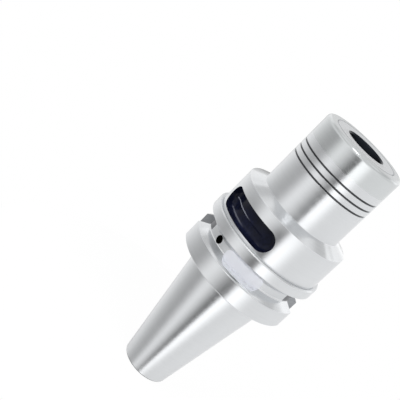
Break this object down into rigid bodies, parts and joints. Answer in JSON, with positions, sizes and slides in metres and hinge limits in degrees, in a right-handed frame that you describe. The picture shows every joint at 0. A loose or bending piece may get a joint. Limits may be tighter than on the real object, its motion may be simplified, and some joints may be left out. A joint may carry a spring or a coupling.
{
  "type": "hydraulic chuck",
  "caption": "Hydraulic expansion chuck: steep taper shank, slotted gripper flange, round body with an arc recess, and a grooved nose with a thin-walled clamping sleeve.",
  "frame": {"origin": "centre of the taper's gauge plane, on the chuck's axis", "axes": "+Z along the chuck's axis from the shank to the nose, the drive slots face -X and +X, the clamping cylinder lies along X on the +Y side"},
  "size_m": [0.063, 0.063, 0.1554],
  "materials": {
    "ground_steel": "hardened case steel, cylindrically ground",
    "sleeve_steel": "hardened steel, ground and honed",
    "black_screw_steel": "alloy steel screw, black oxide",
    "seal_rubber": "black nitrile rubber",
    "backup_plastic": "white fluoroplastic"
  },
  "bodies": {
    "holder": {"holder_body": "ground_steel", "expansion_sleeve": "sleeve_steel", "bleed_screw": "black_screw_steel", "balancing_screw_front": "black_screw_steel", "balancing_screw_rear": "black_screw_steel"},
    "piston_train": {"pressure_piston": "sleeve_steel", "piston_backup_ring": "backup_plastic", "piston_seal": "seal_rubber"},
    "clamping_screw": {"clamping_screw": "black_screw_steel"},
    "adjusting_seal": {"adjusting_screw_o_ring": "seal_rubber"},
    "adjusting_screw": {"length_adjusting_screw": "black_screw_steel"}
  },
  "joints": [
    {"name": "piston_slide", "type": "slide", "parent": "holder", "child": "piston_train", "axis": [-1, 0, 0], "range_m": [0, 0.005]},
    {"name": "clamping_screw_turn", "type": "hinge", "parent": "piston_train", "child": "clamping_screw", "pos_m": [0.015, 0.0155, 0.0328], "axis": [-1, 0, 0], "range_deg": [0, 1800]},
    {"name": "adjusting_seal_slide", "type": "slide", "parent": "holder", "child": "adjusting_seal", "axis": [0, 0, 1], "range_m": [0, 0.01]},
    {"name": "adjusting_screw_turn", "type": "hinge", "parent": "adjusting_seal", "child": "adjusting_screw", "pos_m": [0, 0, 0.022], "axis": [0, 0, 1], "range_deg": [0, 3600]}
  ],
  "couplings": [
    {"joint": "clamping_screw_turn", "follows": "piston_slide", "rad_per_m": 6283.2},
    {"joint": "adjusting_screw_turn", "follows": "adjusting_seal_slide", "rad_per_m": 6283.2}
  ]
}
